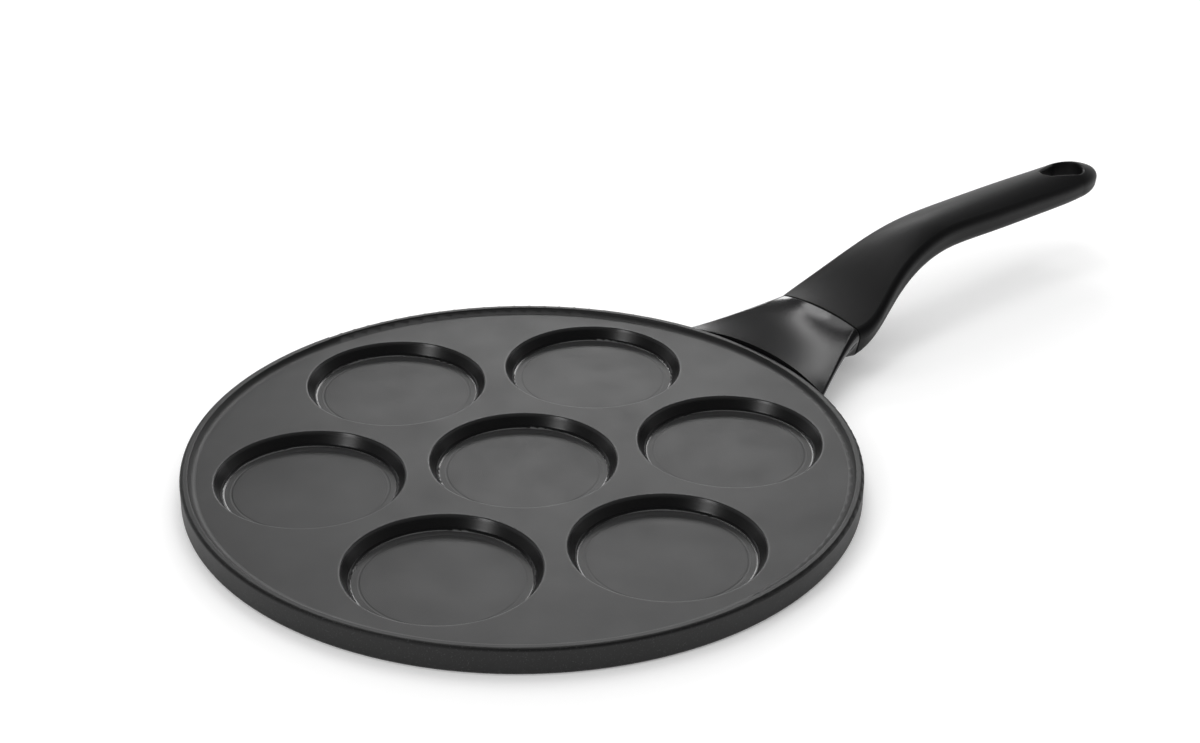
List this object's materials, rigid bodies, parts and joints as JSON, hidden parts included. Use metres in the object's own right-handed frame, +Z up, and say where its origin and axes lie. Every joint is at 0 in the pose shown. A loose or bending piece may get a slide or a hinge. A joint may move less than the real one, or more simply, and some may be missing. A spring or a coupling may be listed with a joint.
{
  "type": "pancake pan",
  "caption": "Flat round pan with shallow round wells for small pancakes, a low rim, and a curved moulded handle with a flared guard and a drop-shaped hanging hole.",
  "frame": {"origin": "centre of the flat base's underside", "axes": "+X from the plate's middle along the handle, +Z up, square to the base"},
  "size_m": [0.472, 0.26, 0.0451],
  "materials": {
    "coated_casting": "dark non-stick coating, satin, finely speckled on the wall",
    "guard_plastic": "satin black heat-resistant plastic",
    "grip_plastic": "fine matt moulded black plastic",
    "screw_steel": "plain zinc-plated steel"
  },
  "bodies": {
    "root": {"pan_body": "coated_casting", "handle_guard": "guard_plastic", "handle_grip": "grip_plastic", "handle_screw": "screw_steel"}
  },
  "joints": []
}
